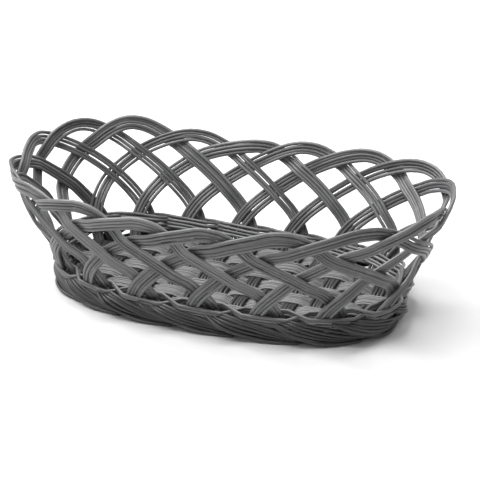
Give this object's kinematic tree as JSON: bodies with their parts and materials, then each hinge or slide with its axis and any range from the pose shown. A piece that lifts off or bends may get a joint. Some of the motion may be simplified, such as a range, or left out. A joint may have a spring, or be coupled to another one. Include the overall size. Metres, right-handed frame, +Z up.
{
  "type": "bread basket",
  "caption": "Oval bread basket of dark plastic strands: open trellis border with arched rim, twined waist, plaited foot and a woven floor.",
  "frame": {"origin": "on the table under the middle of the floor", "axes": "+X along the basket's length, +Y to the back, +Z up"},
  "size_m": [0.2282, 0.1184, 0.0716],
  "materials": {
    "trellis_strands": "satin, drawn round strands",
    "waist_strands": "satin, drawn round strands",
    "foot_strands": "satin, drawn round strands",
    "core_strands": "satin, drawn round strands",
    "floor_strands": "satin, drawn round strands"
  },
  "bodies": {
    "root": {"arch_band_01": "trellis_strands", "arch_band_02": "trellis_strands", "arch_band_03": "trellis_strands", "arch_band_04": "trellis_strands", "arch_band_05": "trellis_strands", "arch_band_06": "trellis_strands", "arch_band_07": "trellis_strands", "arch_band_08": "trellis_strands", "arch_band_09": "trellis_strands", "arch_band_10": "trellis_strands", "arch_band_11": "trellis_strands", "arch_band_12": "trellis_strands", "arch_band_13": "trellis_strands", "arch_band_14": "trellis_strands", "arch_band_15": "trellis_strands", "arch_band_16": "trellis_strands", "arch_band_17": "trellis_strands", "foot_band_01": "foot_strands", "foot_band_02": "foot_strands", "foot_band_03": "foot_strands", "foot_band_04": "foot_strands", "foot_band_05": "foot_strands", "foot_band_06": "foot_strands", "foot_band_07": "foot_strands", "foot_band_08": "foot_strands", "foot_band_09": "foot_strands", "foot_band_10": "foot_strands", "foot_band_11": "foot_strands", "foot_band_12": "foot_strands", "foot_band_13": "foot_strands", "foot_band_14": "foot_strands", "foot_band_15": "foot_strands", "foot_band_16": "foot_strands", "foot_band_17": "foot_strands", "long_ribbon_01": "floor_strands", "long_ribbon_02": "floor_strands", "long_ribbon_03": "floor_strands", "long_ribbon_04": "floor_strands", "long_ribbon_05": "floor_strands", "long_ribbon_06": "floor_strands", "long_ribbon_07": "floor_strands", "cross_ribbon_01": "floor_strands", "cross_ribbon_02": "floor_strands", "cross_ribbon_03": "floor_strands", "cross_ribbon_04": "floor_strands", "cross_ribbon_05": "floor_strands", "cross_ribbon_06": "floor_strands", "cross_ribbon_07": "floor_strands", "cross_ribbon_08": "floor_strands", "cross_ribbon_09": "floor_strands", "cross_ribbon_10": "floor_strands", "cross_ribbon_11": "floor_strands", "cross_ribbon_12": "floor_strands", "cross_ribbon_13": "floor_strands", "waist_weaver_1": "waist_strands", "waist_weaver_2": "waist_strands", "foot_core": "core_strands"}
  },
  "joints": []
}
